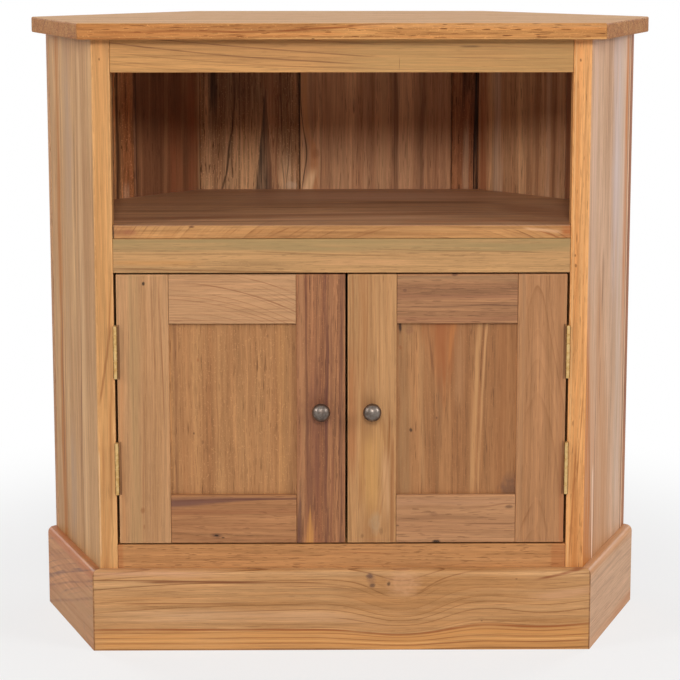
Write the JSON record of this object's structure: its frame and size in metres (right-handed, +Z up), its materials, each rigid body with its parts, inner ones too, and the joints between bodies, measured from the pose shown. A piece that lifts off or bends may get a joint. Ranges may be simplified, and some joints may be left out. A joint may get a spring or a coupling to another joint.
{
  "type": "corner cabinet",
  "caption": "Solid wood corner cabinet with an open compartment above a cupboard closed by framed doors on butt hinges.",
  "frame": {"origin": "centre of the overall box on the floor, under the plinth", "axes": "+X to the right seen from the front, +Y toward the corner of the room, +Z up; the doors face -Y"},
  "size_m": [0.7612, 0.384, 0.75],
  "materials": {
    "teak_light": "satin oiled teak, light honey",
    "teak_orange": "satin oiled teak, orange",
    "teak_beige": "satin oiled teak, greyish beige",
    "teak_brown": "satin oiled teak, brown",
    "teak_dark": "satin oiled teak, dark",
    "brass": "satin brass",
    "pewter": "dark antique pewter, semi-matt",
    "steel": "zinc plated steel",
    "catch_plastic": "brown moulded plastic"
  },
  "bodies": {
    "root": {"top_board": "teak_light", "left_stile": "teak_orange", "right_stile": "teak_orange", "top_rail": "teak_light", "middle_rail": "teak_light", "bottom_rail": "teak_light", "left_side_panel": "teak_beige", "right_side_panel": "teak_beige", "centre_back_board_left": "teak_brown", "centre_back_board_middle": "teak_light", "centre_back_board_right": "teak_brown", "left_back_board_1": "teak_light", "left_back_board_2": "teak_dark", "left_back_board_3": "teak_brown", "right_back_board_1": "teak_light", "right_back_board_2": "teak_brown", "shelf_board": "teak_brown", "bottom_board": "teak_brown", "top_cleat_left": "teak_dark", "top_cleat_right": "teak_dark", "shelf_cleat_left": "teak_dark", "shelf_cleat_right": "teak_dark", "shelf_cleat_back": "teak_dark", "bottom_cleat_left": "teak_dark", "bottom_cleat_right": "teak_dark", "bottom_cleat_back": "teak_dark", "plinth_front": "teak_light", "plinth_left": "teak_light", "plinth_right": "teak_light", "catch_block": "teak_dark", "left_catch": "catch_plastic", "right_catch": "catch_plastic", "left_upper_hinge_frame_leaf": "brass", "left_upper_hinge_pin": "brass", "left_lower_hinge_frame_leaf": "brass", "left_lower_hinge_pin": "brass", "right_upper_hinge_frame_leaf": "brass", "right_upper_hinge_pin": "brass", "right_lower_hinge_frame_leaf": "brass", "right_lower_hinge_pin": "brass"},
    "left_door": {"left_door_hinge_stile": "teak_brown", "left_door_lock_stile": "teak_brown", "left_door_top_rail": "teak_light", "left_door_bottom_rail": "teak_light", "left_door_panel": "teak_brown", "left_knob": "pewter", "left_knob_screw": "steel", "left_strike_plate": "steel", "left_upper_hinge_door_leaf": "brass", "left_lower_hinge_door_leaf": "brass"},
    "right_door": {"right_door_hinge_stile": "teak_brown", "right_door_lock_stile": "teak_brown", "right_door_top_rail": "teak_light", "right_door_bottom_rail": "teak_light", "right_door_panel": "teak_brown", "right_knob": "pewter", "right_knob_screw": "steel", "right_strike_plate": "steel", "right_upper_hinge_door_leaf": "brass", "right_lower_hinge_door_leaf": "brass"}
  },
  "joints": [
    {"name": "left_door_hinge", "type": "hinge", "parent": "root", "child": "left_door", "pos_m": [-0.267, -0.17202, 0.2927], "axis": [0, 0, -1], "range_deg": [0, 180]},
    {"name": "right_door_hinge", "type": "hinge", "parent": "root", "child": "right_door", "pos_m": [0.267, -0.17202, 0.2927], "axis": [0, 0, 1], "range_deg": [0, 180]}
  ]
}
